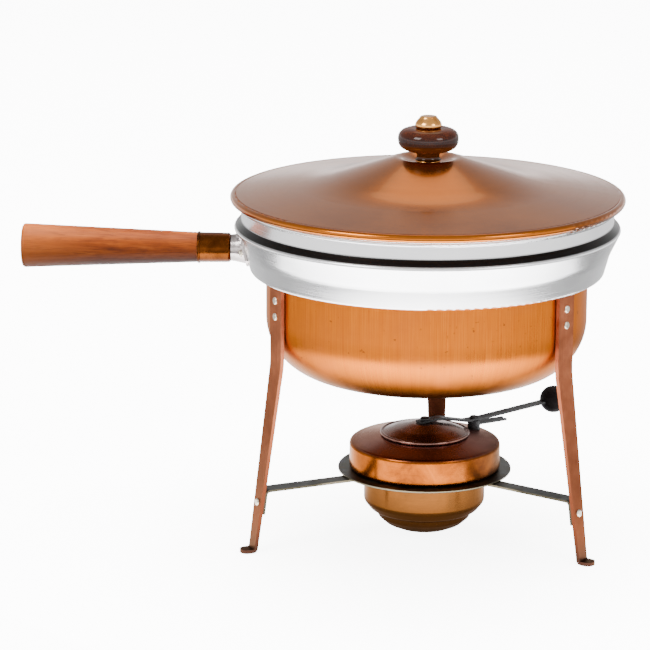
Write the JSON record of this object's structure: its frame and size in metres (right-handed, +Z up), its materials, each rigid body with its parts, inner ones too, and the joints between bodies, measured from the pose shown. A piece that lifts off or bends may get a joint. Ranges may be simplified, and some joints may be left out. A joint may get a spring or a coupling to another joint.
{
  "type": "fondue pot set",
  "caption": "Long-handled food pan with a domed lid, resting in a copper water pan on splayed strap legs over a lift-out spirit burner.",
  "frame": {"origin": "on the pans' common axis, at the level of the surface that the feet stand on", "axes": "+Z up along the pans' axis, -X along the long handle, -Y the front between two of the legs"},
  "size_m": [0.4286, 0.2839, 0.3044],
  "materials": {
    "pan_copper": "copper, satin, brushed round",
    "leg_copper": "copper plated strap, worn",
    "rivet_metal": "plain rivets",
    "dark_brass": "tarnished, dark",
    "pan_aluminium": "spun and polished",
    "socket_aluminium": "cast and polished",
    "ferrule_copper": "copper, darkened",
    "grip_wood": "oiled hardwood",
    "plain_steel": "plain",
    "lid_copper": "copper, polished and lacquered",
    "knob_brass": "polished",
    "knob_wood": "lacquered dark",
    "burner_copper": "copper, polished",
    "gauze_brass": "woven wire",
    "wadding": "loose fibre",
    "black_iron": "blackened",
    "snuffer_copper": "copper, heat darkened",
    "black_ball": "moulded heatproof plastic"
  },
  "bodies": {
    "stand": {"water_pan": "pan_copper", "leg_left": "leg_copper", "leg_right": "leg_copper", "leg_back": "leg_copper", "pan_rivets": "rivet_metal", "burner_ring": "dark_brass", "ring_arm_left": "dark_brass", "ring_arm_right": "dark_brass", "ring_arm_back": "dark_brass", "arm_rivets": "rivet_metal"},
    "food_pan": {"food_pan": "pan_aluminium", "handle_socket": "socket_aluminium", "socket_rivets": "rivet_metal", "handle_ferrule": "ferrule_copper", "handle_grip": "grip_wood", "handle_tang": "plain_steel"},
    "lid": {"lid_shell": "lid_copper", "lid_seat_ring": "pan_aluminium", "knob_washer": "knob_brass", "knob_grip": "knob_wood", "knob_cap": "knob_brass", "knob_nut": "plain_steel", "knob_stud": "plain_steel"},
    "burner": {"burner_bowl": "burner_copper", "burner_cover": "burner_copper", "burner_gauze": "gauze_brass", "fuel_wadding": "wadding", "snuffer_bracket": "black_iron", "pivot_pin": "black_iron"},
    "snuffer": {"snuffer_lid": "snuffer_copper", "snuffer_lever": "black_iron", "snuffer_rivet": "black_iron", "ball_knob": "black_ball"}
  },
  "joints": [
    {"name": "food_pan_lift", "type": "slide", "parent": "stand", "child": "food_pan", "axis": [0, 0, 1], "range_m": [0, 0.1]},
    {"name": "lid_lift", "type": "slide", "parent": "food_pan", "child": "lid", "axis": [0, 0, 1], "range_m": [0, 0.1]},
    {"name": "burner_lift", "type": "slide", "parent": "stand", "child": "burner", "axis": [0, 0, 1], "range_m": [0, 0.02]},
    {"name": "snuffer_swing", "type": "hinge", "parent": "burner", "child": "snuffer", "pos_m": [0.03562, 0.02226, 0.0766], "axis": [0, 0, 1], "range_deg": [0, 95]}
  ]
}
